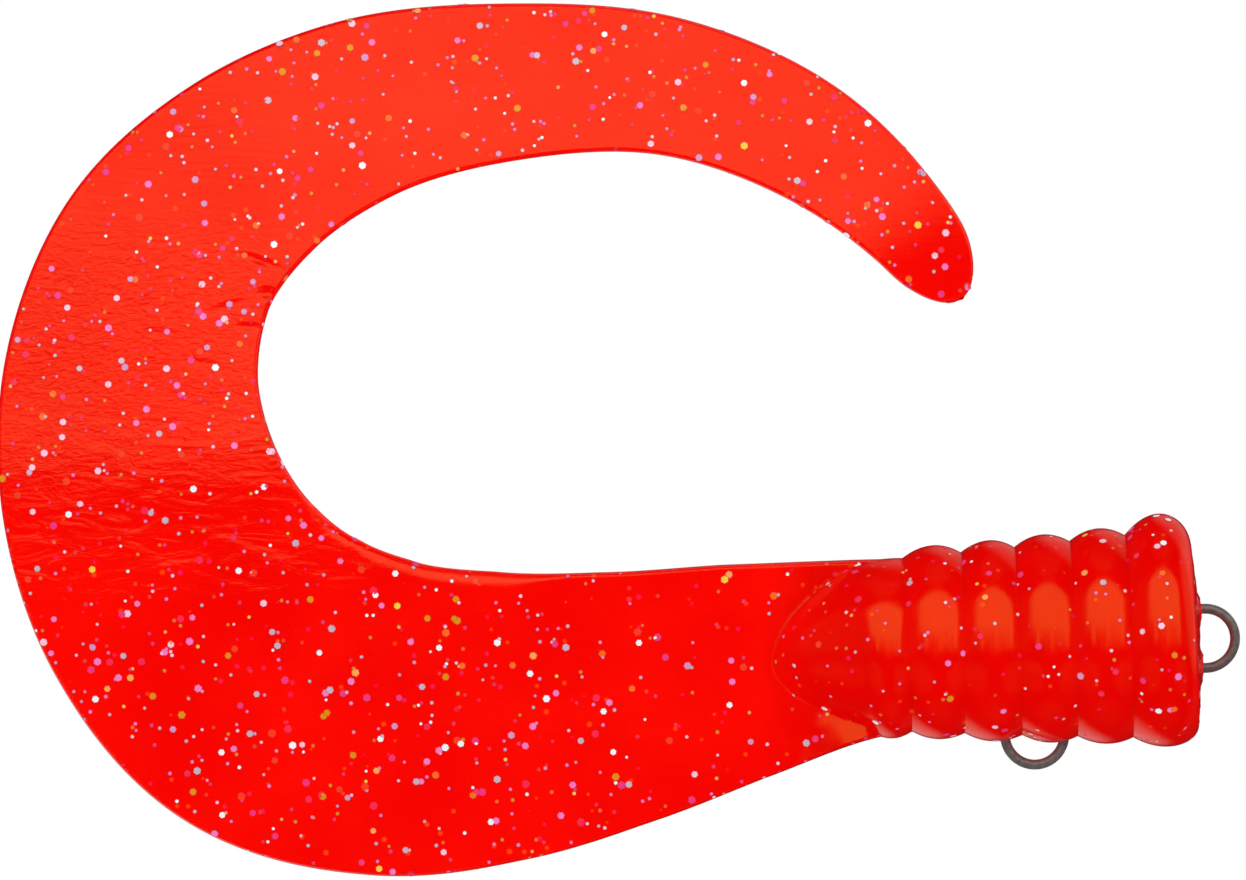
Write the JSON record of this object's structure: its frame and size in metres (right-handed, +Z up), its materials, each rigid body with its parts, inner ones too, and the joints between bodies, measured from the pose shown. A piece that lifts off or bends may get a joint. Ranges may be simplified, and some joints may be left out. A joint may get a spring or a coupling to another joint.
{
  "type": "soft plastic worm",
  "caption": "Ribbed soft plastic lure with a broad flat tail curled forward over its back, a wire tow eye in its nose and a wire hook hanger under its belly.",
  "frame": {"origin": "centre of the tow eye, the wire loop that stands out of the nose", "axes": "+X forwards out of the nose, +Y to the lure's left, +Z up from its back, in its level swimming pose"},
  "size_m": [0.149, 0.026, 0.105],
  "materials": {
    "soft_plastic": "gloss",
    "wire": "satin",
    "sleeve": "satin"
  },
  "bodies": {
    "body": {"ribbed_body": "soft_plastic", "harness_wire": "wire", "crimp_sleeve": "sleeve"},
    "tail_root": {"tail_root_blade": "soft_plastic"},
    "lower_bend": {"lower_bend_blade": "soft_plastic"},
    "outer_bend": {"outer_bend_blade": "soft_plastic"},
    "upper_bend": {"upper_bend_blade": "soft_plastic"},
    "upper": {"upper_blade": "soft_plastic"},
    "tail_tip": {"tail_tip_blade": "soft_plastic"}
  },
  "joints": [
    {"name": "tail_root_flex", "type": "hinge", "parent": "body", "child": "tail_root", "pos_m": [-0.05355, 0.00012, -0.00359], "axis": [0.205, 0.086, -0.975], "range_deg": [-16, 16], "stiffness_Nm_per_rad": 0.03},
    {"name": "lower_bend_flex", "type": "hinge", "parent": "tail_root", "child": "lower_bend", "pos_m": [-0.0885, 0.00169, -0.00974], "axis": [0.0608, 0.0895, -0.9941], "range_deg": [-16, 16], "stiffness_Nm_per_rad": 0.025},
    {"name": "outer_bend_flex", "type": "hinge", "parent": "lower_bend", "child": "outer_bend", "pos_m": [-0.12059, 0.00024, 0.00304], "axis": [-0.7948, 0.0544, -0.6044], "range_deg": [-16, 16], "stiffness_Nm_per_rad": 0.02},
    {"name": "upper_bend_flex", "type": "hinge", "parent": "outer_bend", "child": "upper_bend", "pos_m": [-0.1279, 0.00064, 0.03729], "axis": [-0.9698, 0.0397, 0.2408], "range_deg": [-16, 16], "stiffness_Nm_per_rad": 0.016},
    {"name": "upper_flex", "type": "hinge", "parent": "upper_bend", "child": "upper", "pos_m": [-0.10386, 0.00458, 0.06253], "axis": [-0.3833, 0.1504, 0.9113], "range_deg": [-16, 16], "stiffness_Nm_per_rad": 0.012},
    {"name": "tail_tip_flex", "type": "hinge", "parent": "upper", "child": "tail_tip", "pos_m": [-0.06436, 0.00582, 0.06633], "axis": [0.2022, 0.1594, 0.9663], "range_deg": [-16, 16], "stiffness_Nm_per_rad": 0.006}
  ]
}
